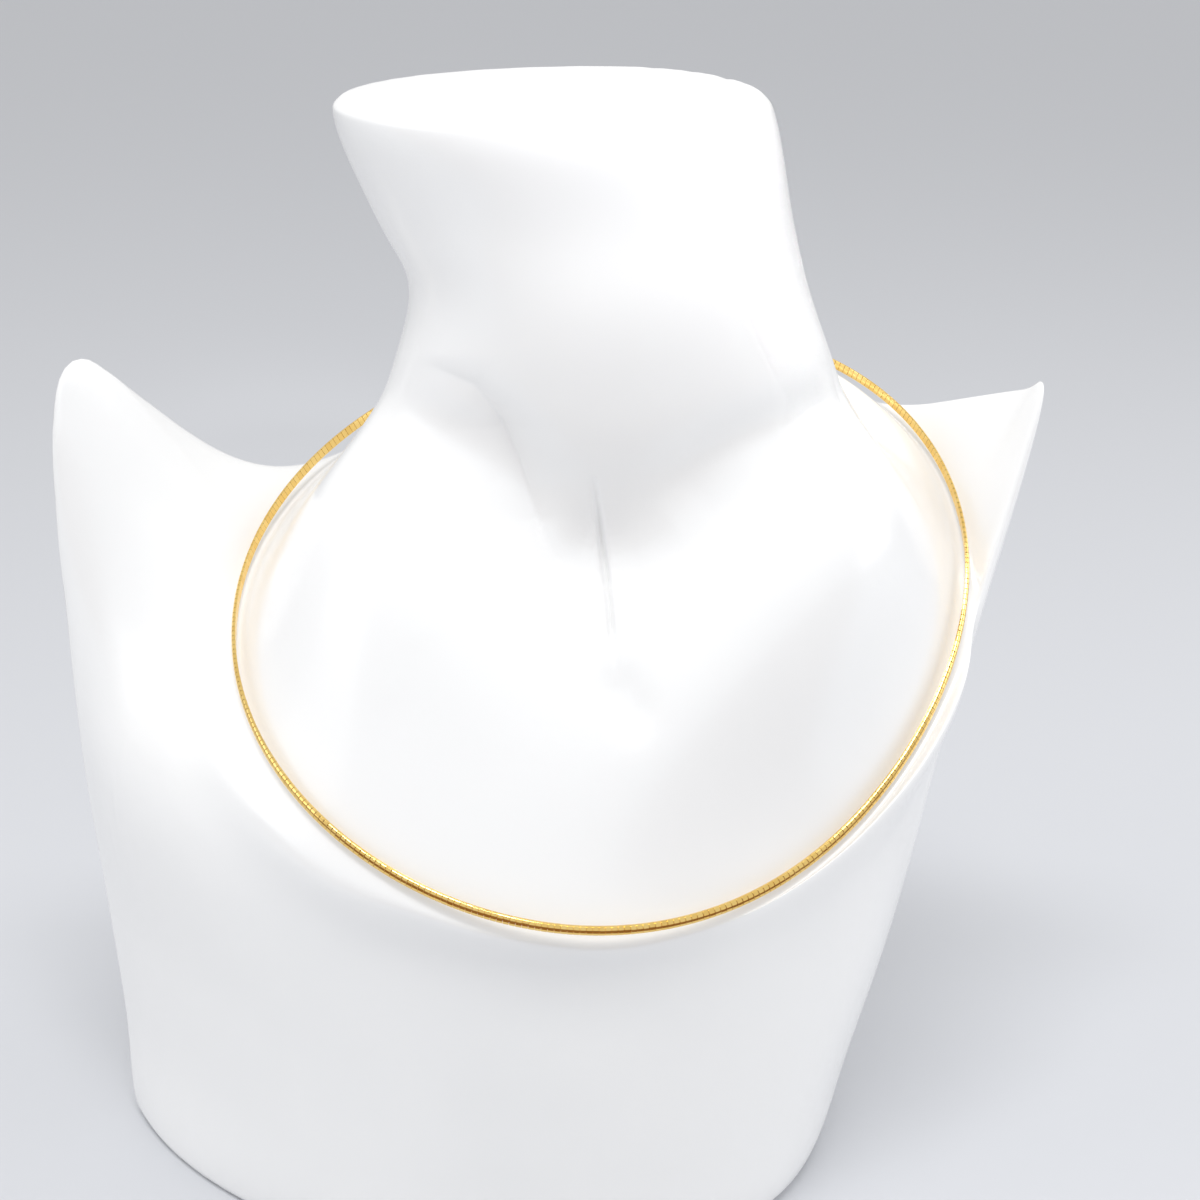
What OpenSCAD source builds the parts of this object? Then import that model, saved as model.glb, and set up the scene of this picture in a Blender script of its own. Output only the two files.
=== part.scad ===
// Omega necklace of domed plates, lying on a white neck bust. Millimetres, +Z up, the front towards -Y.
// The origin is under the middle of the whole object, on the surface that it stands on.

/* [Necklace] */
// Mean radius of the closed necklace, 16 inches round
loop_r = 64.2; // [62:0.2:67]
// Lean of the loop from level, lowest at the front, in degrees
loop_lean = 36; // [32:1:40]
// How much further the loop reaches on the diagonal from front left to back right
loop_oval = 3; // [0:0.5:4]
// How far that diagonal lies above the plane of the loop
loop_twist = 3.6; // [0:0.2:5]
// Width of the chain across its face
band_w = 1.7; // [1.6:0.1:3]
// Thickness of the chain at the top of its dome
band_t = 0.8; // [0.8:0.1:1.6]
// Length of the clasp along the loop
clasp_l = 11; // [8:1:16]
// How far the clasp stands out around the chain
clasp_wall = 0.4; // [0.2:0.1:0.8]
// Free gap between the chain's end and the clasp
end_gap = 0.1; // [0.05:0.05:0.3]

/* [Seat] */
// Free gap between the chain and the bust where it rests
seat_gap = 0.5; // [0.4:0.1:1]
// How far the chain stands off the hollow over the breastbone
chest_hollow = 2; // [0:0.5:3]
// How far the chain stands off the hollows beside the nape
nape_hollow = 2; // [0:0.5:3]

/* [Shoulders and chest] */
// Height of the loop's middle above the foot
loop_h = 112; // [105:1:120]
// Reach of the right shoulder tip from the middle of the neck
shoulder_right = 82; // [80:0.5:90]
// Reach of the left shoulder tip from the middle of the neck
shoulder_left = 96.5; // [90:0.5:102]
// Height of the right tip above the loop's middle
tip_right_h = 36; // [30:1:42]
// Height of the left tip above the loop's middle
tip_left_h = 40; // [34:1:46]
// Turn of the shoulder tips towards the back, in degrees
tip_turn = 9.5; // [6:0.5:12]
// Reach of the chest in front of the middle of the neck
chest_front = 52; // [50:1:58]
// Reach of the back behind the middle of the neck
back_reach = 58; // [56:1:66]

/* [Neck] */
// Height of the neck's flat top above the loop's middle
neck_top = 88; // [82:1:100]
// Half the width of the neck where it is narrowest, near enough
neck_half = 36; // [32:1:39]
// Depth of the neck from throat to nape
neck_deep = 68; // [62:1:71]

/* [Hidden] */

// Points of the bust between two rows of the rim, and rings between two sections
rim_steps = 3;
bust_steps = 4;
chain_rings = 80;
clasp_rings = 7;
// Half the width of the level strip of bust under the chain
seat_half = 2;

function unit(v) = v / norm(v);
function mixed(p, q, share) = (1 - share) * p + share * q;
function dip(a, at, sharp) = pow(max(0, cos(a - at)), sharp);
function degrees_of(l) = l / loop_r * 180 / PI;

// A smooth curve between the middle two of four points, centripetal so that uneven spacing makes no loop
function knot(p, q) = max(0.05, sqrt(norm(q - p)));
function curved(p, q, r, s, share) =
    let (
        b = knot(p, q),
        c = b + knot(q, r),
        d = c + knot(r, s),
        t = b + share * (c - b),
        pq = mixed(p, q, t / b),
        qr = mixed(q, r, (t - b) / (c - b)),
        rs = mixed(r, s, (t - c) / (d - c))
    )
    mixed(mixed(pq, qr, t / c), mixed(qr, rs, (t - b) / (d - b)), (t - b) / (c - b));

// The loop, by angle: 0 is at the right, 90 at the nape and 270 at the front
nape = 90;
front = 270;
lean_back = [0, cos(loop_lean), sin(loop_lean)];
lean_up = [0, -sin(loop_lean), cos(loop_lean)];
function radial(a) = [cos(a), 0, 0] + sin(a) * lean_back;
function loop_reach(a) = loop_r + loop_oval * (0.1 * cos(a) - 0.25 * sin(a)
    + sin(2 * a) + 0.5 * cos(2 * a) + 0.5 * sin(3 * a) - 0.1 * cos(3 * a));
function loop_rise(a) = loop_twist * (sin(2 * a) + cos(3 * a) / 3);
function loop_at(a) = [0, 0, loop_h] + loop_reach(a) * radial(a) + loop_rise(a) * lean_up;
function loop_along(a) = unit(loop_at(a + 0.5) - loop_at(a - 0.5));

// The chain's face lies on the chest in front, stands up at the sides and leans on the nape behind
function face_tilt(a) = 2 + 8 * cos(a) - 52 * sin(a);
function face_out(a) = cos(face_tilt(a)) * radial(a) + sin(face_tilt(a)) * lean_up;

// The bust under the chain: which way it faces there, and how far it lies below the chain's middle
function seat_tilt(a) = 68 - 84 * pow(max(0, sin(a)), 2);
function seat_out(a) = cos(seat_tilt(a)) * radial(a) + sin(seat_tilt(a)) * lean_up;
function seat_in(a) = cos(seat_tilt(a)) * lean_up - sin(seat_tilt(a)) * radial(a);
function seat_drop(a) =
    let (turn = seat_tilt(a) - face_tilt(a))
    abs(cos(turn)) * band_t / 2 + abs(sin(turn)) * band_w / 2 + seat_gap
    + clasp_wall * dip(a, nape, 30)
    + chest_hollow * dip(a, front, 12)
    + nape_hollow * (0.3 * dip(a, nape - 45, 12) + dip(a, nape + 45, 12));

// The rim of the shoulders. A row gives its turn about the neck (0 at the right tip, 90 behind, 180 at the
// left tip, 270 in front), its reach in shares of the flank's there, and its height over the loop's middle,
// in shares of loop_h and then of the tip's height.
rim_rows = [
    [0, 1.26, 0, 1],
    [4, 1.255, 0, 0.95],
    [9, 1.19, 0.01, 0.84],
    [18, 1.14, 0.03, 0.64],
    [32, 1.08, 0.06, 0.35],
    [50, 1.03, 0.1, 0.15],
    [70, 0.99, 0.14, 0],
    [90, 0.98, 0.145, 0],
    [110, 0.97, 0.14, 0],
    [130, 0.957, 0.08, 0],
    [147, 0.944, 0, 0.17],
    [160, 0.956, 0, 0.2],
    [170, 0.964, 0, 0.54],
    [176, 0.985, 0, 0.88],
    [180, 0.985, 0, 1],
    [183.5, 0.915, 0, 0.4],
    [187, 0.871, 0, 0.05],
    [191, 0.849, -0.05, 0],
    [199, 0.899, -0.11, 0],
    [212, 0.988, -0.205, 0],
    [230, 1.041, -0.295, 0],
    [242, 1.052, -0.32, 0],
    [256, 1.056, -0.357, 0],
    [270, 1.043, -0.383, 0],
    [284, 1.025, -0.378, 0],
    [297, 1.027, -0.353, 0],
    [310, 1.046, -0.307, 0],
    [320, 1.07, -0.255, 0],
    [330, 1.103, -0.189, 0],
    [341, 1.122, -0.102, 0],
    [350, 1.105, -0.03, 0],
    [356, 1.169, 0, 0.385],
];
rim_count = len(rim_rows);
function rim_row(i) = rim_rows[(i + rim_count) % rim_count]
    + [i < 0 ? -360 : i < rim_count ? 0 : 360, 0, 0, 0];
rim = [for (i = [0:rim_count - 1]) for (s = [0:rim_steps - 1])
    curved(rim_row(i - 1), rim_row(i), rim_row(i + 1), rim_row(i + 2), s / rim_steps)];
function rim_tip(t) = cos(t) > 0 ? tip_right_h : tip_left_h;

// A section of the bust. A row gives its heights at the front, back, right and left, its reaches to the right,
// left, front and back, how sharp an edge it has at the sides, from 0 for an ellipse to 1 for a lens, and how
// far it turns with the tips.
function placed(t, turn, reach, z) = let (a = t + turn * tip_turn * cos(t)) [reach * cos(a), reach * sin(a), z];
function oval(c, s, side, mid) = 1 / norm([c / side, s / mid]);
function lens(c, s, side, mid) =
    let (back = (side * side - mid * mid) / (2 * mid))
    sqrt(pow(mid + back, 2) - pow(back * c, 2)) - back * s;
function section_reach(row, t, sizes) =
    let (
        c = abs(cos(t)),
        s = abs(sin(t)),
        side = cos(t) > 0 ? row[4] * sizes[0] : row[5] * sizes[1],
        mid = sin(t) < 0 ? row[6] * sizes[2] : row[7] * sizes[3]
    )
    mixed(oval(c, s, side, mid), lens(c, s, side, mid), row[8]);
function chest_reach(row, t) = (1 + chest_full * dip(t, chest_full_at, 6)) * section_reach(row, t, chest_sizes);
function section_height(row, t, sharp) =
    let (side = pow(abs(cos(t)), sharp))
    side * (cos(t) > 0 ? row[2] : row[3]) + (1 - side) * mixed(row[0], row[1], (1 + sin(t)) / 2);

// Below the chain, in shares of loop_h, the shoulders' reaches, chest_front and back_reach
chest_sizes = [shoulder_right, shoulder_left, chest_front, back_reach];
chest_sharp = 6;
// How much fuller the chest is at its front left, and where
chest_full = 0.1;
chest_full_at = 232;
chest_rows = [
    [0, 0, 0, 0, 0.5, 0.95, 0.83, 0.765, 0.6, 0],
    [0.018, 0.018, 0.018, 0.018, 0.53, 0.965, 0.86, 0.8, 0.7, 0],
    [0.17, 0.2, 0.19, 0.19, 0.6, 0.975, 0.89, 0.9, 0.9, 0.15],
    [0.36, 0.45, 0.41, 0.41, 0.695, 0.997, 0.91, 0.99, 1, 0.3],
    [0.56, 0.73, 0.73, 0.76, 0.79, 1.03, 0.925, 1, 1, 0.5],
];
// Above it, in shares of neck_top, neck_half and neck_deep
neck_sizes = [neck_half, neck_half, neck_deep, neck_deep];
neck_sharp = 2;
neck_rows = [
    [-0.14, 0.49, 0.27, 0.23, 1.44, 1.39, 0.57, 0.71, 0, 0],
    [0.19, 0.57, 0.42, 0.4, 1.18, 1.08, 0.31, 0.68, 0, 0],
    [0.43, 0.66, 0.5, 0.5, 1.1, 0.98, 0.35, 0.63, 0, 0],
    [0.64, 0.73, 0.65, 0.65, 0.965, 0.9, 0.4, 0.6, 0, 0],
    [0.795, 0.795, 0.77, 0.77, 0.89, 1.035, 0.43, 0.59, 0, 0],
    [0.977, 0.977, 0.977, 0.977, 0.78, 1.22, 0.485, 0.59, 0, 0],
    [1, 1, 1, 1, 0.73, 1.17, 0.46, 0.56, 0, 0],
];

// Where the loop crosses a turn about the neck
function seat_angle(t) = let (a = t + tip_turn * cos(t)) atan2(sin(a), cos(a) * cos(loop_lean));
function seat_ring(inward) = [for (p = rim)
    let (a = seat_angle(p[0]))
    loop_at(a) - seat_drop(a) * seat_out(a) + inward * seat_in(a)];
sections = concat(
    [for (row = chest_rows) [for (p = rim)
        placed(p[0], row[9], chest_reach(row, p[0]), loop_h * section_height(row, p[0], chest_sharp))]],
    [[for (p = rim)
        placed(p[0], 1, p[1] * chest_reach(chest_rows[4], p[0]),
               loop_h * (1 + p[2]) + p[3] * rim_tip(p[0]))]],
    [seat_ring(-seat_half), seat_ring(seat_half)],
    [for (row = neck_rows) [for (p = rim)
        placed(p[0], row[9], section_reach(row, p[0], neck_sizes),
               loop_h + neck_top * section_height(row, p[0], neck_sharp))]]
);
top = len(sections) - 1;
function section_point(k, j) =
    k < 0 ? 2 * sections[0][j] - sections[1][j]
    : k > top ? 2 * sections[top][j] - sections[top - 1][j]
    : sections[k][j];
function between(k, share) = [for (j = [0:len(rim) - 1]) curved(
    section_point(k - 1, j), section_point(k, j), section_point(k + 1, j), section_point(k + 2, j), share)];
skin = concat([for (k = [0:top - 1]) for (s = [0:bust_steps - 1]) between(k, s / bust_steps)], [sections[top]]);

// The object's middle, so that it can stand over the origin
function spread(points, axis) = let (v = [for (p = points) p[axis]]) [min(v), max(v)];
module stand() {
    all = concat([for (ring = skin) each ring], [for (ring = chain_loops) each ring],
                 [for (ring = clasp_loops) each ring]);
    x = spread(all, 0);
    y = spread(all, 1);
    translate([-(x[0] + x[1]) / 2, -(y[0] + y[1]) / 2, 0]) children();
}

// A closed solid through rings of points, with a fan over each end
function middle(ring) = [for (axis = [0:2]) [for (p = ring) p[axis]] * [for (p = ring) 1] / len(ring)];
module skinned(loops) {
    n = len(loops[0]);
    m = len(loops);
    points = concat([for (ring = loops) each ring], [middle(loops[0]), middle(loops[m - 1])]);
    sides = [for (k = [0:m - 2]) for (j = [0:n - 1])
        [k * n + j, (k + 1) * n + j, (k + 1) * n + (j + 1) % n, k * n + (j + 1) % n]];
    ends = [for (j = [0:n - 1]) each [
        [m * n, j, (j + 1) % n],
        [m * n + 1, (m - 1) * n + (j + 1) % n, (m - 1) * n + j]]];
    polyhedron(points, concat(sides, ends), convexity = 8);
}

// The chain's outline, flat behind and domed in front, in shares of its width and thickness
dome = [[-0.5, -0.5], [0.5, -0.5], [0.5, -0.1], [0.35, 0.3], [0.13, 0.5], [-0.13, 0.5], [-0.35, 0.3], [-0.5, -0.1]];
function band_ring(a, w, t) =
    let (across = unit(cross(face_out(a), loop_along(a))), out = cross(loop_along(a), across))
    [for (p = dome) loop_at(a) + p[0] * w * across + p[1] * t * out];
chain_half = 180 - degrees_of(clasp_l / 2 + end_gap);
chain_loops = [for (i = [0:chain_rings - 1])
    band_ring(nape + 180 + chain_half * (2 * i / (chain_rings - 1) - 1), band_w, band_t)];
clasp_half = degrees_of(clasp_l / 2);
clasp_loops = [for (i = [0:clasp_rings - 1])
    band_ring(nape + clasp_half * (2 * i / (clasp_rings - 1) - 1), band_w + 2 * clasp_wall, band_t + 2 * clasp_wall)];

module neck_bust() {
    color("whitesmoke") stand() skinned(skin);
}

module omega_chain() {
    color("gold") stand() skinned(chain_loops);
}

module clasp() {
    color("goldenrod") stand() skinned(clasp_loops);
}

neck_bust();
omega_chain();
clasp();
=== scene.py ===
# %% [markdown]
# # An omega necklace on a white neck bust
#
# An omega necklace is a row of narrow domed plates, crimped side by side on a flexible core, so that it
# lies as one smooth ring round the neck. Here it rests on a glossy white bust, as in a shop. This
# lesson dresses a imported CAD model: the bust is smoothed and carved, the chain becomes real plates on a
# core, and both get materials that are worked out by nodes alone. Each step is a short cell, with the
# reason for it in a cell of text before it.

import random
from math import cos, exp, pi, radians, sin

import bmesh
import bpy
from mathutils import Matrix, Vector, kdtree


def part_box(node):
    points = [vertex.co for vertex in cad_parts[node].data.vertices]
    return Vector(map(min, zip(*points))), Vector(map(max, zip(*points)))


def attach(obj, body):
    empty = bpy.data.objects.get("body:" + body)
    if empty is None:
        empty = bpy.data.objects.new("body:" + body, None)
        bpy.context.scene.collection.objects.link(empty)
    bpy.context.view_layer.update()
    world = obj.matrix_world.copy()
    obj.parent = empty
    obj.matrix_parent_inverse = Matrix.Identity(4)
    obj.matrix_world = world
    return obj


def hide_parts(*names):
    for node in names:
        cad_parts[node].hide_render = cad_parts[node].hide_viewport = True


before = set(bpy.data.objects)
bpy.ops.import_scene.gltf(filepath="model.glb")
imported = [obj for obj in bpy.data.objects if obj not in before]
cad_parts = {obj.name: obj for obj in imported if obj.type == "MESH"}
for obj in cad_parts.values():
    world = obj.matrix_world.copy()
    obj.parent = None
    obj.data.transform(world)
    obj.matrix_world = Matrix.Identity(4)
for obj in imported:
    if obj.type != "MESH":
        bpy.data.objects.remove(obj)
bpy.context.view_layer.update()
MM = 0.001
print("nodes:", sorted(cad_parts))

# %% [markdown]
# ## Where the necklace runs
#
# The chain's middle line is a leaning ring that isn't quite round: it bulges on one diagonal and twists
# out of its own plane, as a springy necklace does when it rests on shoulders. The ring could be drawn
# as a curve by hand, but the plates have to lie exactly where the CAD chain lies. So the formulas here
# are those of the CAD source, in metres, and an angle names a place on the ring: 0 is at the right, 90
# degrees at the nape and 270 at the front. The band's face leans with the skin that it lies on: seen
# from the ring's own plane, up by 54 degrees at the front and down by 50 at the nape.

# %% Sizes of the ring and the band
LOOP_RADIUS = 64.2 * MM
LOOP_OVAL = 3 * MM
LOOP_TWIST = 3.6 * MM
LOOP_LEAN = radians(36)
LEAN_BACK = Vector((0, cos(LOOP_LEAN), sin(LOOP_LEAN)))
LEAN_UP = Vector((0, -sin(LOOP_LEAN), cos(LOOP_LEAN)))
BAND_WIDTH = 1.7 * MM
BAND_THICKNESS = 0.8 * MM
CLASP_LENGTH = 11 * MM
END_PLAY = 0.1 * MM
FRONT = radians(270)
print("the ring is about", round(2 * LOOP_RADIUS / MM), "mm across")

# %% The loop of the necklace
# The tilt of the band's face, in degrees: the same all round, more at the right, and more at the front.
EVEN_TILT, SIDE_TILT, FRONT_TILT = 2, 8, 52
A_LITTLE_ON = 0.01
loop_middle = Vector((0, 0, 0))


def radial(a):
    """The way out from the loop's middle, in the loop's own plane."""
    return Vector((cos(a), 0, 0)) + sin(a) * LEAN_BACK


def loop_at(a):
    """A place on the chain's middle line."""
    reach = LOOP_RADIUS + LOOP_OVAL * (0.1 * cos(a) - 0.25 * sin(a) + sin(2 * a) + 0.5 * cos(2 * a)
                                       + 0.5 * sin(3 * a) - 0.1 * cos(3 * a))
    rise = LOOP_TWIST * (sin(2 * a) + cos(3 * a) / 3)
    return loop_middle + reach * radial(a) + rise * LEAN_UP


def loop_frame(a):
    """Across the chain's face, along the loop and out of the face, as a turn with those three columns."""
    along = (loop_at(a + A_LITTLE_ON) - loop_at(a - A_LITTLE_ON)).normalized()
    tilt = radians(EVEN_TILT + SIDE_TILT * cos(a) - FRONT_TILT * sin(a))
    face = cos(tilt) * radial(a) + sin(tilt) * LEAN_UP
    across = face.cross(along).normalized()
    return Matrix((across, along, along.cross(across))).transposed()


print("front of the ring, from its middle, in mm:", [round(v / MM, 1) for v in loop_at(FRONT)])

# %% [markdown]
# ## Where the ring's middle lies
#
# The whole CAD model was shifted to stand over the origin, so the ring's middle isn't known beforehand.
# Typing it in would break as soon as a size changed. Instead a band is made from the formulas round a
# middle at zero, and the box round it is laid over the box of the CAD chain: what lies between the two
# boxes is the shift.

# %% Find the ring's middle
BAND_RINGS = 80
BAND_CORNERS = [(-0.5, -0.5), (0.5, -0.5), (0.5, -0.1), (0.35, 0.3), (0.13, 0.5),
                (-0.13, 0.5), (-0.35, 0.3), (-0.5, -0.1)]


def box_middle(points):
    """The middle of the box round some points."""
    return Vector([(min(p[axis] for p in points) + max(p[axis] for p in points)) / 2
                   for axis in range(3)])


chain_half = pi - (CLASP_LENGTH / 2 + END_PLAY) / LOOP_RADIUS
band = []
for ring in range(BAND_RINGS):
    a = FRONT + chain_half * (2 * ring / (BAND_RINGS - 1) - 1)
    band += [loop_at(a) + loop_frame(a) @ Vector((x * BAND_WIDTH, 0, z * BAND_THICKNESS))
             for x, z in BAND_CORNERS]
loop_middle = box_middle(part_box("omega_chain")) - box_middle(band)
print("loop's middle in mm:", [round(v / MM, 2) for v in loop_middle])

# %% [markdown]
# ## The camera
#
# The photograph was taken from close by and from above, looking down by 22 degrees. Its distance
# matters as much as its angle, because from 35 cm the near side of the ring looks clearly wider than
# the far side. The picture is square, so 36 mm of sensor is both its width and its height. The camera
# could be placed by eye, but these values were fitted to the ring's outline, and they are kept as
# offsets from the ring's middle.

# %% Place the camera
LOOKING_DOWN = radians(22)
CAMERA_DISTANCE = 353.1 * MM
CAMERA_LEFT = 0.17 * MM
CAMERA_LOW = 1.26 * MM
CLOSEST_SEEN = 10 * MM
SENSOR = 36
LENS = 58.78
PICTURE_SIZE = 1200
TO_THE_RIGHT = Vector((1, 0, 0))
UP_THE_PICTURE = Vector((0, sin(LOOKING_DOWN), cos(LOOKING_DOWN)))
TO_THE_CAMERA = Vector((0, -cos(LOOKING_DOWN), sin(LOOKING_DOWN)))


def new_object(name, data):
    """An object that holds the data, linked into the scene."""
    made = bpy.data.objects.new(name, data)
    bpy.context.scene.collection.objects.link(made)
    return made


camera_data = bpy.data.cameras.new("camera")
camera_data.lens = LENS
camera_data.sensor_width = SENSOR
camera_data.clip_start = CLOSEST_SEEN
camera = new_object("camera", camera_data)
camera.location = (loop_middle - CAMERA_LEFT * TO_THE_RIGHT - CAMERA_LOW * UP_THE_PICTURE
                   + CAMERA_DISTANCE * TO_THE_CAMERA)
camera.rotation_euler = (radians(90) - LOOKING_DOWN, 0, 0)
bpy.context.scene.camera = camera


def in_the_picture(point):
    """Where a point shows, in pixels from the top left of the square picture."""
    offset = point - camera.location
    scale = PICTURE_SIZE * LENS / SENSOR / -offset.dot(TO_THE_CAMERA)
    half = PICTURE_SIZE / 2
    return Vector((half + scale * offset.dot(TO_THE_RIGHT), half - scale * offset.dot(UP_THE_PICTURE)))


print("front of the chain shows at", [round(v) for v in in_the_picture(loop_at(FRONT))])

# %% [markdown]
# ## From loose triangles to a smooth skin
#
# A CAD node arrives as separate triangles. A copy is merged into one skin, pairs of triangles are
# joined back into the four-sided faces that they were cut from, and two rounds of Catmull-Clark
# subdivision round the facets off. Four-sided faces matter: subdivided triangles would leave a faint
# star pattern, which a glossy surface shows at once.

# %% Helpers for pieces
WELD = 0.002 * MM


def merged_copy(node):
    """A bmesh of a CAD node's skin, with its doubles merged."""
    skin = bmesh.new()
    skin.from_mesh(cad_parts[node].data)
    bmesh.ops.remove_doubles(skin, verts=skin.verts, dist=WELD)
    return skin


def mesh_from(name, shape):
    """A bmesh written into a new mesh, after which the bmesh is let go."""
    mesh = bpy.data.meshes.new(name)
    shape.to_mesh(mesh)
    shape.free()
    return mesh


def finished_piece(name, shape, node, smooth=True):
    """A piece that rides on the one body, from its bmesh, and stands for a CAD node if one is named."""
    mesh = mesh_from(name, shape)
    piece = new_object(name, mesh)
    if smooth:
        mesh.shade_smooth()
    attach(piece, "root")
    if node:
        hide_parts(node)
    print(name, "has", len(mesh.vertices), "vertices and", len(mesh.polygons), "faces")
    return piece


# %% Join the triangles
NEARLY_FLAT = radians(50)
ANY_SHAPE = radians(180)
skin = merged_copy("neck_bust")
triangles = len(skin.faces)
bmesh.ops.join_triangles(skin, faces=skin.faces, cmp_seam=False, cmp_sharp=False, cmp_uvs=False,
                         cmp_vcols=False, cmp_materials=False, angle_face_threshold=NEARLY_FLAT,
                         angle_shape_threshold=ANY_SHAPE)
print("triangles:", triangles, "faces after joining:", len(skin.faces))

# %% Smooth the bust
ROUNDING_LEVELS = 2
rough_bust = new_object("rough_bust", mesh_from("rough_bust", skin))
rounding = rough_bust.modifiers.new("rounding", "SUBSURF")
rounding.levels = ROUNDING_LEVELS
rounding.render_levels = ROUNDING_LEVELS
bpy.context.view_layer.update()
evaluated = rough_bust.evaluated_get(bpy.context.evaluated_depsgraph_get())
smooth_bust = bmesh.new()
smooth_bust.from_mesh(evaluated.to_mesh())
bpy.data.objects.remove(rough_bust)
print("smoothed skin:", len(smooth_bust.verts), "vertices")

# %% [markdown]
# ## Relax the skin inside the ring
#
# Between the strip that carries the necklace and the neck, the CAD skin changes its curve quickly, and
# a glossy surface would show that as thin lines. smooth_vert moves each vertex towards the middle of
# its neighbours. Only the skin inside the ring is relaxed: under the chain it stays put, and so does
# the sharp edge below it. Each round reaches a little further up the neck than the one before, so that
# the relaxing ends softly. A tree of points on the ring makes it quick to look up which of them is
# nearest.

# %% Measure how far the skin lies from the ring
KEPT_STILL = 2.5 * MM
ring_points = kdtree.KDTree(360)
for degree in range(360):
    ring_points.insert(loop_at(radians(degree)), degree)
ring_points.balance()
inside_the_ring = []
for vert in smooth_bust.verts:
    nearest, _, distance = ring_points.find(vert.co)
    if distance > KEPT_STILL and (vert.co - nearest).dot(nearest - loop_middle) < 0:
        inside_the_ring.append((vert, distance))
print("vertices inside the ring:", len(inside_the_ring))

# %% Relax it
RELAXED_FROM, RELAXED_TO = 14 * MM, 34 * MM
RELAXING_ROUNDS = 16
for count in range(RELAXING_ROUNDS):
    reach = RELAXED_FROM + (RELAXED_TO - RELAXED_FROM) * count / (RELAXING_ROUNDS - 1)
    relaxed = [vert for vert, distance in inside_the_ring if distance < reach]
    bmesh.ops.smooth_vert(smooth_bust, verts=relaxed, factor=0.5,
                          use_axis_x=True, use_axis_y=True, use_axis_z=True)
print("relaxed", len(relaxed), "vertices in the last round")

# %% [markdown]
# ## The lines of the throat
#
# The real bust is cast from a carved model. A V of throat lies a little deeper than the chest, with a
# crisp edge on the left and a soft one on the right. A fine groove runs down the breastbone and ends in
# a shallow dimple. These marks are too fine for the CAD source, so they are pressed into the smooth
# skin. Sculpting them with a brush can't be written down in a script. A few lines given as points in
# the picture can, and each mark's depth then falls off with the distance from its line.

# %% Lines of the carving, in pixels of the picture
THROAT_LEFT = [(431, 366), (473, 387), (494, 418), (510, 453), (537, 517), (557, 560)]
THROAT_RIGHT = [(585, 556), (640, 566), (690, 550), (718, 520), (768, 496), (815, 460), (836, 418)]
BREASTBONE = [(593, 478), (602, 547), (608, 594), (614, 660)]
DIMPLE = [(622, 690), (634, 712)]


def nearest_on_line(point, line):
    """Distance from a point to a line of several stretches."""
    distances = []
    for start, end in zip(line, line[1:]):
        start, stretch = Vector(start), Vector(end) - Vector(start)
        share = min(1, max(0, (point - start).dot(stretch) / stretch.length_squared))
        distances.append((point - start - share * stretch).length)
    return min(distances)


def fade(value, nothing, full):
    """0 up to one value, 1 from the other one on and a straight climb between them, either way round."""
    return min(1, max(0, (value - nothing) / (full - nothing)))


def bell(distance, width):
    """1 on a line, with a soft fall to 0 on both sides of it."""
    return exp(-(distance / width) ** 2)


lines = (THROAT_LEFT, THROAT_RIGHT, BREASTBONE, DIMPLE)
print("lines:", len(lines), "points placed by hand:", sum(len(line) for line in lines))

# %% How deep each mark goes
# Depths are in millimetres, widths in pixels. A head or foot gives two heights in the picture: where the
# mark has faded out and where it is full.
CRISP_DEPTH, CRISP_WIDTH = 2.2, 26
CRISP_HEAD, CRISP_FOOT = (355, 430), (600, 520)
SOFT_DEPTH, SOFT_WIDTH = 1.6, 40
GROOVE_DEPTH, GROOVE_WIDTH = 1.5, 4
GROOVE_HEAD, GROOVE_FOOT = (475, 560), (665, 630)
DIMPLE_DEPTH, DIMPLE_WIDTH = 1.4, 22


def carving_depth(spot):
    """How deep the carving goes at a place in the picture, in millimetres."""
    crisp = CRISP_DEPTH * exp(-nearest_on_line(spot, THROAT_LEFT) / CRISP_WIDTH)
    crisp *= fade(spot.y, *CRISP_HEAD) * fade(spot.y, *CRISP_FOOT)
    soft = SOFT_DEPTH * bell(nearest_on_line(spot, THROAT_RIGHT), SOFT_WIDTH)
    groove = GROOVE_DEPTH * bell(nearest_on_line(spot, BREASTBONE), GROOVE_WIDTH)
    groove *= fade(spot.y, *GROOVE_HEAD) * fade(spot.y, *GROOVE_FOOT)
    dimple = DIMPLE_DEPTH * bell(nearest_on_line(spot, DIMPLE), DIMPLE_WIDTH)
    return (crisp ** 2 + soft ** 2) ** 0.5 + groove + dimple


print("depth at the points of the crisp edge in mm:",
      [round(carving_depth(Vector(point)), 1) for point in THROAT_LEFT])

# %% [markdown]
# ## Press them into the skin
#
# A mark can't be finer than the faces that carry it, so the faces under the crisp edge and under the
# groove are cut once more, and the rest of the skin stays light. Then each vertex that the camera sees
# moves inwards along its normal. The neck's sides turn away from the camera, and a carving that stopped
# there all at once would leave a step, so the depth fades out before it gets to them.

# %% Cut finer faces under the fine marks
THROAT_CORNERS = ((430, 350), (622, 590))
BREASTBONE_CORNERS = ((578, 470), (628, 650))
FACING = (0.1, 0.35)
NOT_BEHIND = (24 * MM, 4 * MM)


def in_front(vert):
    """1 where the skin faces the camera, falling to 0 at the sides of the neck and behind it."""
    nothing, full = (loop_middle.y + depth for depth in NOT_BEHIND)
    return fade(vert.normal.dot(TO_THE_CAMERA), *FACING) * fade(vert.co.y, nothing, full)


def within(spot, corners):
    """Whether a place in the picture lies between the top left and the bottom right corner."""
    (left, top), (right, bottom) = corners
    return left < spot.x < right and top < spot.y < bottom


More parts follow.
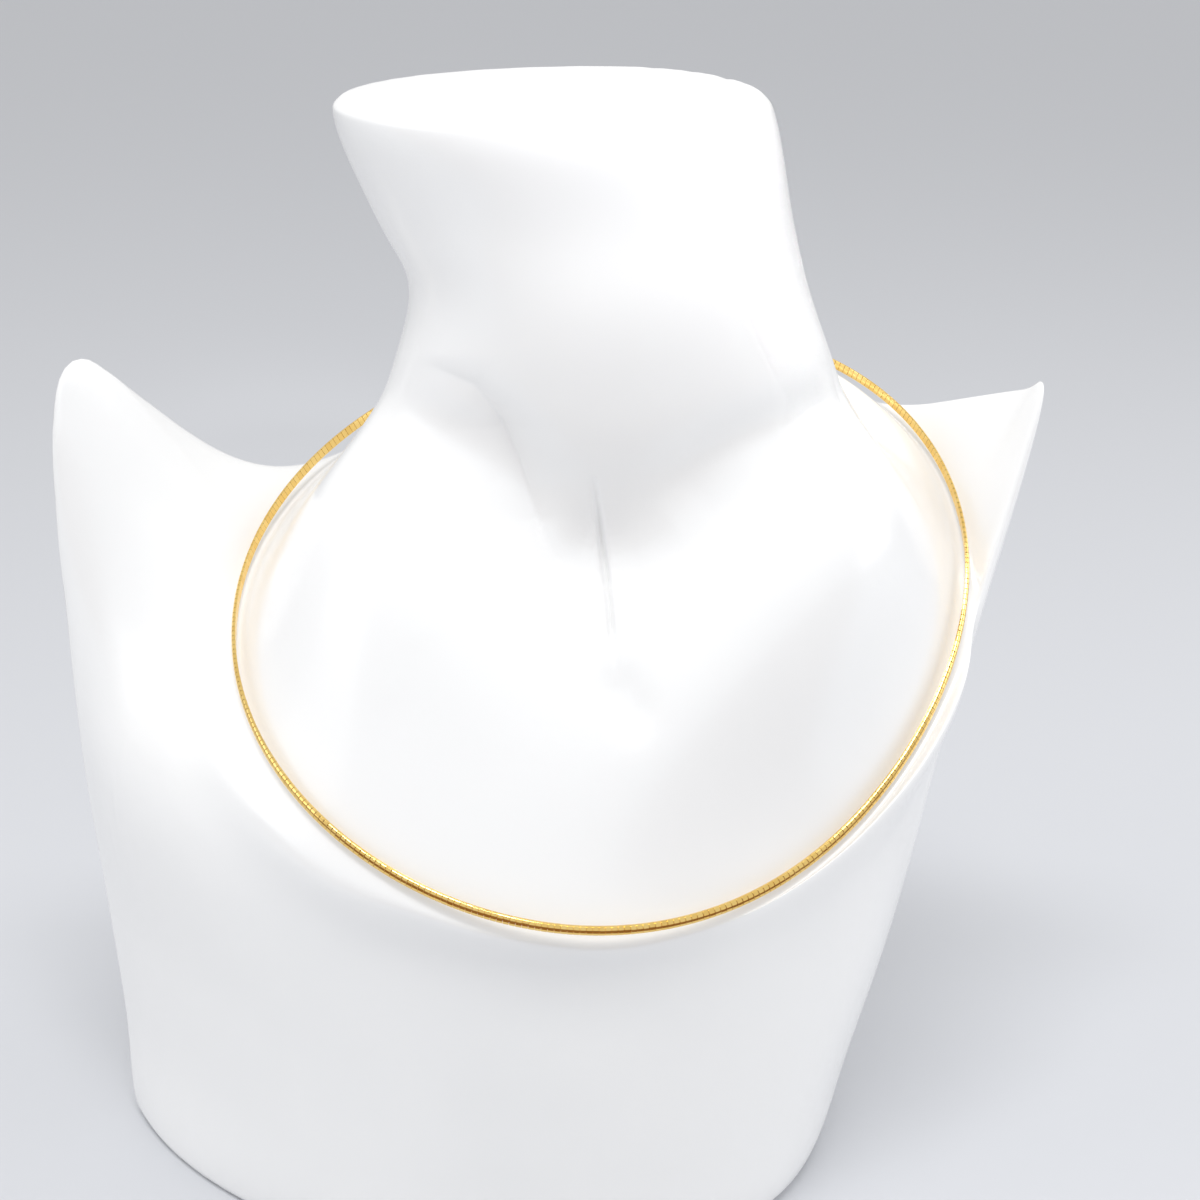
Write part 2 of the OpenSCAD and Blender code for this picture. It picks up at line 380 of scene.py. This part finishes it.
for corners in (THROAT_CORNERS, BREASTBONE_CORNERS):
    smooth_bust.normal_update()
    near = {vert for vert in smooth_bust.verts
            if in_front(vert) > 0 and within(in_the_picture(vert.co), corners)}
    chosen = [face for face in smooth_bust.faces if near.issuperset(face.verts)]
    edges = list(dict.fromkeys(edge for face in chosen for edge in face.edges))
    bmesh.ops.subdivide_edges(smooth_bust, edges=edges, cuts=1, use_grid_fill=True, smooth=0.0)
    print("finer faces from", len(chosen))
smooth_bust.normal_update()

# %% Press the carving in
CARVED_CORNERS = ((300, 220), (900, 800))
deepest = 0
for vert in smooth_bust.verts:
    spot = in_the_picture(vert.co)
    share = in_front(vert)
    if share > 0 and within(spot, CARVED_CORNERS):
        depth = share * carving_depth(spot)
        deepest = max(deepest, depth)
        vert.co -= depth * MM * vert.normal
print("deepest carving in mm:", round(deepest, 2))
bust = finished_piece("display_bust", smooth_bust, "neck_bust")

# %% [markdown]
# ## One plate
#
# Each plate is a narrow cap: flat behind and domed in front, as wide as the chain, with softened edges.
# It is made once, from its outline, by extruding and bevelling, and copied later. It is kept light,
# because it comes hundreds of times over and is never seen bigger than a few pixels. A curve modifier
# could bend one long strip, but only separate plates give the fine dark lines between them.

# %% The plate's outline, in shares of the band's width and thickness
PLATE_HALF = 0.47
BACK_HALF, BACK = 0.4, -0.5
BACK_CORNER, DOME_START = -0.4, -0.12
DOME_FOOT, DOME_RISE = -0.1, 0.6
DOME_STEP = 7
PLATE_OUTLINE = [(-PLATE_HALF, BACK_CORNER), (-BACK_HALF, BACK), (BACK_HALF, BACK)]
PLATE_OUTLINE += [(PLATE_HALF, BACK_CORNER), (PLATE_HALF, DOME_START)]
PLATE_OUTLINE += [(PLATE_HALF * cos(radians(a)), DOME_FOOT + DOME_RISE * sin(radians(a)))
                  for a in range(DOME_STEP, 180, DOME_STEP)]
PLATE_OUTLINE += [(-PLATE_HALF, DOME_START)]
print("the plate's outline has", len(PLATE_OUTLINE), "corners")

# %% Make one plate
PLATE_PITCH = 1.05 * MM
PLATE_GAP = 0.035 * MM
PLATE_SOFTENING = 0.05 * MM
LEVEL_WITHIN = 1e-9
plate_length = PLATE_PITCH - PLATE_GAP
plate = bmesh.new()
outline = [plate.verts.new((x * BAND_WIDTH, -plate_length / 2, z * BAND_THICKNESS))
           for x, z in PLATE_OUTLINE]
pulled = bmesh.ops.extrude_face_region(plate, geom=[plate.faces.new(outline)])
pulled_verts = [part for part in pulled["geom"] if isinstance(part, bmesh.types.BMVert)]
bmesh.ops.translate(plate, verts=pulled_verts, vec=(0, plate_length, 0))
bmesh.ops.recalc_face_normals(plate, faces=plate.faces)
rims = [edge for edge in plate.edges if abs(edge.verts[0].co.y - edge.verts[1].co.y) < LEVEL_WITHIN]
bmesh.ops.bevel(plate, geom=rims, offset=PLATE_SOFTENING, offset_type="OFFSET", segments=1,
                profile=0.5, affect="EDGES", material=-1, clamp_overlap=True)
plate_mesh = mesh_from("one_plate", plate)
print("one plate has", len(plate_mesh.polygons), "faces")

# %% [markdown]
# ## Even spacing
#
# The plates are all alike, so they sit at equal distances along the ring, which isn't the same as equal
# angles, because the ring isn't round. An array that follows a curve would space them too, but it would
# bend each plate. Here the ring is walked in short steps while its length is added up, and each plate
# gets the angle at which its share of the length is reached.

# %% Space the plates evenly along the loop
STEPS = 4000
PLATES_STOP_SHORT = 0.05 * MM
plates_half = chain_half - PLATES_STOP_SHORT / LOOP_RADIUS
angles = [FRONT + plates_half * (2 * step / STEPS - 1) for step in range(STEPS + 1)]
lengths = [0.0]
for before, after in zip(angles, angles[1:]):
    lengths.append(lengths[-1] + (loop_at(after) - loop_at(before)).length)
plate_count = round(lengths[-1] / PLATE_PITCH)
plate_angles = []
step = 0
for index in range(plate_count):
    wanted = (index + 0.5) * lengths[-1] / plate_count
    while lengths[step + 1] < wanted:
        step += 1
    share = (wanted - lengths[step]) / (lengths[step + 1] - lengths[step])
    plate_angles.append(angles[step] + share * (angles[step + 1] - angles[step]))
print("chain length in mm:", round(lengths[-1] / MM, 1), "plates:", plate_count)

# %% [markdown]
# ## String the plates
#
# Each copy of the plate is turned to the ring's direction and laid on it. All the plates go into one
# mesh, because hundreds of objects would be slow and hard to handle. Real plates never lie quite alike.
# So each gets a number from 0 to 1 of its own, which its gold reads later, and sits a hair off true, so
# that neighbours never catch the light in quite the same way. The seed is fixed, so every run makes the
# same chain.

# %% String them
CHAIN_SEED = 16
MOST_ROLL = 1.3
MOST_PITCH = 0.4
random.seed(CHAIN_SEED)


def off_true():
    """A very small turn, of at most that many degrees about each axis and different each time."""
    roll = Matrix.Rotation(radians(random.uniform(-MOST_ROLL, MOST_ROLL)), 3, "Y")
    return roll @ Matrix.Rotation(radians(random.uniform(-MOST_PITCH, MOST_PITCH)), 3, "X")


plates = bmesh.new()
tone_layer = plates.verts.layers.float.new("plate_tone")
for a in plate_angles:
    first = len(plates.verts)
    plates.from_mesh(plate_mesh)
    plates.verts.ensure_lookup_table()
    fresh = plates.verts[first:]
    tone = random.random()
    place = Matrix.Translation(loop_at(a)) @ (loop_frame(a) @ off_true()).to_4x4()
    bmesh.ops.transform(plates, matrix=place, verts=fresh)
    for vert in fresh:
        vert[tone_layer] = tone
bmesh.ops.recalc_face_normals(plates, faces=plates.faces)
chain = finished_piece("omega_plates", plates, "omega_chain", smooth=False)

# %% [markdown]
# ## The core
#
# Under the plates runs a core of fine woven wire. It shows only as a darker line in the gaps, so its
# weave isn't modelled. A curve with a round bevel is the short way to a tube. It is made a mesh before
# it is handed on, so that its place is in its vertices, and its two caps are merged to the tube.

# %% Run the core through the plates
CORE_RADIUS = 0.28 * MM
CORE_ROUNDNESS = 2
PLATES_PER_POINT = 3
CORE_WELD = 0.001 * MM
core_line = bpy.data.curves.new("core_line", "CURVE")
core_line.dimensions = "3D"
core_line.bevel_depth = CORE_RADIUS
core_line.bevel_resolution = CORE_ROUNDNESS
core_line.use_fill_caps = True
spline = core_line.splines.new("POLY")
core_angles = plate_angles[::PLATES_PER_POINT]
spline.points.add(len(core_angles) - 1)
for point, a in zip(spline.points, core_angles):
    point.co = (*loop_at(a), 1)
core_curve = new_object("core_line", core_line)
bpy.context.view_layer.update()
core_shape = bmesh.new()
core_shape.from_mesh(core_curve.to_mesh())
bpy.data.objects.remove(core_curve)
bmesh.ops.remove_doubles(core_shape, verts=core_shape.verts, dist=CORE_WELD)
bmesh.ops.recalc_face_normals(core_shape, faces=core_shape.faces)
core = finished_piece("woven_core", core_shape, None)

# %% [markdown]
# ## The clasp
#
# The clasp lies at the nape, where the neck hides it, so it is a plain sleeve with no tongue or spring.
# Its CAD shape is right, and a new sleeve from scratch would only risk another size. A merged copy gets
# its long and end edges softened, because no real edge is perfectly sharp.

# %% Soften the clasp
IN_ONE_PLANE = radians(2)
SHARP = radians(20)
CLASP_SOFTENING = 0.16 * MM
sleeve = merged_copy("clasp")
bmesh.ops.dissolve_limit(sleeve, angle_limit=IN_ONE_PLANE, verts=sleeve.verts, edges=sleeve.edges)
sharp = [edge for edge in sleeve.edges if edge.calc_face_angle(0) > SHARP]
bmesh.ops.bevel(sleeve, geom=sharp, offset=CLASP_SOFTENING, offset_type="OFFSET", segments=3,
                profile=0.5, affect="EDGES", material=-1, clamp_overlap=True)
clasp = finished_piece("clasp_sleeve", sleeve, "clasp")

# %% [markdown]
# ## A shared effect: cloudy variation
#
# Nothing real has one roughness all over: resin keeps faint polishing clouds, and gold is smoothed
# unevenly by wear. Both finishes use the same node group, a noise on Object coordinates that puts out
# one soft mask. A painted picture could do this too, but it would need a file and would stretch where
# the shape changes. The group gives only the mask, and each material decides what to do with it.

# %% Build the cloud group
CLOUD_EDGES = {"From Min": 0.35, "From Max": 0.65}
clouds = bpy.data.node_groups.new("clouds", "ShaderNodeTree")
for name, value in (("Scale", 20.0), ("Detail", 3.0)):
    socket = clouds.interface.new_socket(name, in_out="INPUT", socket_type="NodeSocketFloat")
    socket.default_value = value
clouds.interface.new_socket("Mask", in_out="OUTPUT", socket_type="NodeSocketFloat")
group_in = clouds.nodes.new("NodeGroupInput")
group_out = clouds.nodes.new("NodeGroupOutput")
where = clouds.nodes.new("ShaderNodeTexCoord")
noise_node = clouds.nodes.new("ShaderNodeTexNoise")
soften = clouds.nodes.new("ShaderNodeMapRange")
soften.interpolation_type = "SMOOTHSTEP"
for name, value in CLOUD_EDGES.items():
    soften.inputs[name].default_value = value
clouds.links.new(where.outputs["Object"], noise_node.inputs["Vector"])
clouds.links.new(group_in.outputs["Scale"], noise_node.inputs["Scale"])
clouds.links.new(group_in.outputs["Detail"], noise_node.inputs["Detail"])
clouds.links.new(noise_node.outputs["Fac"], soften.inputs["Value"])
clouds.links.new(soften.outputs["Result"], group_out.inputs["Mask"])
print("the cloud group has", len(clouds.nodes), "nodes")

# %% [markdown]
# ## Helpers for materials
#
# Resin and gold are mixed by the same few moves: start from a Principled shader, place the clouds, turn
# their mask into a range of roughness or into a colour between two, and put the finish on a piece. Each
# move is a small function, so that a recipe below reads as a list of values.

# %% Small moves that both finishes share
def new_material(name):
    """A material, its tree ready for more nodes, and its Principled shader."""
    material = bpy.data.materials.new(name)
    material.use_nodes = True
    return material, material.node_tree, material.node_tree.nodes["Principled BSDF"]


def add_clouds(tree, scale, detail=3.0):
    """The cloud group's mask, at a scale of its own."""
    node = tree.nodes.new("ShaderNodeGroup")
    node.node_tree = clouds
    node.inputs["Scale"].default_value = scale
    node.inputs["Detail"].default_value = detail
    return node.outputs["Mask"]


def spread(tree, mask, low, high):
    """A mask from 0 to 1, made a value from low to high."""
    node = tree.nodes.new("ShaderNodeMapRange")
    node.inputs["To Min"].default_value = low
    node.inputs["To Max"].default_value = high
    tree.links.new(mask, node.inputs["Value"])
    return node.outputs["Result"]


def blend_colours(tree, mask, first, second):
    """The first colour where the mask is 0, and the second where it is 1."""
    node = tree.nodes.new("ShaderNodeMix")
    node.data_type = "RGBA"
    node.inputs["A"].default_value = (*first, 1)
    node.inputs["B"].default_value = (*second, 1)
    tree.links.new(mask, node.inputs["Factor"])
    return node.outputs["Result"]


def dress(piece, material):
    """Puts one material on a piece."""
    piece.data.materials.clear()
    piece.data.materials.append(material)


# %% [markdown]
# ## White resin
#
# The bust is cast resin under a clear lacquer: very white, a touch cool, with soft reflections. One
# flat white would look like paper. So the clouds vary its white and its roughness a little, and a fine
# noise gives the bump of the resin's grain, which the lacquer never quite hides.

# %% Mix the resin
COOL_WHITE, PURE_WHITE = (0.87, 0.872, 0.875), (0.9, 0.9, 0.9)
resin, tree, shader = new_material("white_resin")
white = blend_colours(tree, add_clouds(tree, scale=14), COOL_WHITE, PURE_WHITE)
tree.links.new(white, shader.inputs["Base Color"])
gloss = spread(tree, add_clouds(tree, scale=40, detail=4), low=0.18, high=0.24)
tree.links.new(gloss, shader.inputs["Roughness"])
shader.inputs["IOR"].default_value = 1.5
shader.inputs["Coat Weight"].default_value = 0.3
shader.inputs["Coat Roughness"].default_value = 0.2
print("white_resin has", len(tree.nodes), "nodes without its grain")

# %% Add the grain under the lacquer
GRAIN_SCALE, GRAIN_DETAIL = 900, 2
GRAIN_STRENGTH, GRAIN_HEIGHT = 0.04, 0.2 * MM
grain_place = tree.nodes.new("ShaderNodeTexCoord")
grain = tree.nodes.new("ShaderNodeTexNoise")
grain.inputs["Scale"].default_value = GRAIN_SCALE
grain.inputs["Detail"].default_value = GRAIN_DETAIL
bump = tree.nodes.new("ShaderNodeBump")
bump.inputs["Strength"].default_value = GRAIN_STRENGTH
bump.inputs["Distance"].default_value = GRAIN_HEIGHT
tree.links.new(grain_place.outputs["Object"], grain.inputs["Vector"])
tree.links.new(grain.outputs["Fac"], bump.inputs["Height"])
tree.links.new(bump.outputs["Normal"], shader.inputs["Normal"])
dress(bust, resin)
print("white_resin has", len(tree.nodes), "nodes")

# %% [markdown]
# ## Polished gold
#
# Gold colour comes from the metal's own reflection, so the base colour is rich and the shader fully
# metallic. Yellow paint with a gloss on it would reflect white instead. Each plate's own number shifts
# its colour and its roughness by a hair, which breaks the band's highlight into the small dashes that
# the real one shows. The core gets a darker, rougher version of the same recipe. Its darker colour is
# painted shade: it stands for the shade that falls in the narrow gaps between the plates, where it shows.

# %% Mix the golds
WEAR_SCALE, WEAR_DETAIL = 260, 2
PLATE_SHARE, WEAR_SHARE = 0.65, 0.35


def gold_material(name, pale, deep, smoothest, roughest, varied=True):
    """A gold that lies between two colours and two roughnesses, by wear and, if varied, by the plate."""
    gold, tree, shader = new_material(name)
    shader.inputs["Metallic"].default_value = 1.0
    mask = add_clouds(tree, WEAR_SCALE, WEAR_DETAIL)
    if varied:
        tone = tree.nodes.new("ShaderNodeAttribute")
        tone.attribute_name = "plate_tone"
        both = tree.nodes.new("ShaderNodeMath")
        both.operation = "MULTIPLY_ADD"
        both.inputs[1].default_value = WEAR_SHARE
        tree.links.new(mask, both.inputs[0])
        tree.links.new(spread(tree, tone.outputs["Fac"], 0.0, PLATE_SHARE), both.inputs[2])
        mask = both.outputs["Value"]
    tree.links.new(blend_colours(tree, mask, deep, pale), shader.inputs["Base Color"])
    tree.links.new(spread(tree, mask, smoothest, roughest), shader.inputs["Roughness"])
    print(name, "has", len(tree.nodes), "nodes")
    return gold


plate_gold = gold_material("plate_gold", pale=(0.98, 0.71, 0.26), deep=(0.9, 0.6, 0.18),
                           smoothest=0.07, roughest=0.13)
# Painted shade: the core's darker gold stands for the shade in the gaps between the plates.
painted_shade_core_gold = gold_material("painted_shade_core_gold", pale=(0.5, 0.32, 0.1), deep=(0.35, 0.2, 0.06),
                          smoothest=0.35, roughest=0.5, varied=False)
clasp_gold = gold_material("clasp_gold", pale=(0.95, 0.67, 0.2), deep=(0.86, 0.56, 0.14),
                           smoothest=0.12, roughest=0.2, varied=False)
dress(chain, plate_gold)
dress(core, painted_shade_core_gold)
dress(clasp, clasp_gold)

# %% [markdown]
# ## The floor
#
# The surroundings in the photograph are a plain, pale grey-blue. A curved backdrop could give them too,
# but a wide floor is enough, because the camera looks down and sees nothing else. It is stage, not a
# part of the object.

# %% Lay the floor
FLOOR_HALF = 6
MATT = 0.9


def flat_sheet(name, shape, paint_name, colour):
    """A sheet for the stage, with a matt paint of one colour."""
    sheet = new_object(name, mesh_from(name, shape))
    paint, _, shader = new_material(paint_name)
    shader.inputs["Base Color"].default_value = (*colour, 1)
    shader.inputs["Roughness"].default_value = MATT
    dress(sheet, paint)
    return sheet


floor_shape = bmesh.new()
bmesh.ops.create_grid(floor_shape, x_segments=1, y_segments=1, size=FLOOR_HALF)
floor = flat_sheet("floor", floor_shape, "floor_paint", colour=(0.61, 0.622, 0.653))
print("the floor is", round(floor.dimensions.x), "m wide")

# %% [markdown]
# ## The lamps
#
# The photograph is high in key: a strong light from above all but whitens the chest, and less light
# falls on the upright neck. One lamp high above and a little in front does most of the work. It is
# short from front to back, so that the chain throws a narrow shadow on the ledge below it, and wide
# from side to side, so that other shadows stay soft. A big lamp at each side lifts the edges. A tiny
# one in front, with its light held to a narrow cone, lifts the top of the neck alone. It is kept out of
# reflections, where it would be a bright dot.

# %% Hang the lamps
def hang_lamp(name, place, aim, size, power):
    """A rectangular lamp that faces its aim, with its width and height in metres and power in watts."""
    lamp_data = bpy.data.lights.new(name, "AREA")
    lamp_data.shape = "RECTANGLE"
    lamp_data.size, lamp_data.size_y = size
    lamp_data.energy = power
    lamp = new_object(name, lamp_data)
    lamp.location = place
    lamp.rotation_euler = (Vector(aim) - Vector(place)).to_track_quat("-Z", "Y").to_euler()
    return lamp


CHEST = (0.0, -0.02, 0.1)
NECK = (0.02, -0.02, 0.2)
hang_lamp("lamp_above", place=(-0.02, -0.27, 0.85), aim=CHEST, size=(0.4, 0.16), power=2.85)
hang_lamp("lamp_left", place=(-0.8, -0.2, 0.5), aim=CHEST, size=(0.5, 0.7), power=0.95)
hang_lamp("lamp_right", place=(0.8, 0.05, 0.4), aim=CHEST, size=(0.4, 0.7), power=1.8)
neck_lamp = hang_lamp("lamp_neck", place=(0.2, -0.65, 0.5), aim=NECK, size=(0.04, 0.04),
                      power=0.0072)
neck_lamp.data.spread = radians(8)
neck_lamp.visible_glossy = False
print("lamps:", len(bpy.data.lights))

# %% [markdown]
# ## Something brown to reflect
#
# Polished gold shows what is around it. A thin brown line runs along the front of the real band, and it
# is the reflection of something dark that lies low in front. A brown line in the material would be
# wrong, because it would stay where it is when the view changes. So a wide brown card lies before the
# bust and slopes up under the camera and past it. Only reflections see it: it throws no shadow, and
# soft light passes it by.

# %% Lay a brown card in front of the bust
CARD_WIDTH, CARD_DEPTH = 3, 0.62
CARD_SLOPE = radians(-16.6)
CARD_PLACE = (0, -0.455, 0.093)
card_shape = bmesh.new()
# A grid's size is half its side, so this is a square of one metre before it is scaled.
bmesh.ops.create_grid(card_shape, x_segments=1, y_segments=1, size=0.5)
bmesh.ops.scale(card_shape, verts=card_shape.verts, vec=(CARD_WIDTH, CARD_DEPTH, 1))
bmesh.ops.rotate(card_shape, verts=card_shape.verts, matrix=Matrix.Rotation(CARD_SLOPE, 3, "X"))
bmesh.ops.translate(card_shape, verts=card_shape.verts, vec=CARD_PLACE)
card = flat_sheet("dark_card", card_shape, "card_paint", colour=(0.2, 0.1, 0.04))
card.visible_camera = False
card.visible_diffuse = False
card.visible_shadow = False
print("the card is", round(card.dimensions.x, 2), "m wide")

# %% [markdown]
# ## Light from all round
#
# A white room throws its own light back into every shadow. Modelling the room would slow the render
# down, and an even white world gives the same fill. The standard view shows white as white. The default
# one would turn the resin grey, because it keeps room for lights that are brighter than white.

# %% Fill in from all round
FILL = 0.79
world = bpy.data.worlds.new("studio")
world.use_nodes = True
background = world.node_tree.nodes["Background"]
background.inputs["Color"].default_value = (1, 1, 1, 1)
background.inputs["Strength"].default_value = FILL
bpy.context.scene.world = world
bpy.context.scene.view_settings.view_transform = "Standard"
print("view:", bpy.context.scene.view_settings.view_transform)
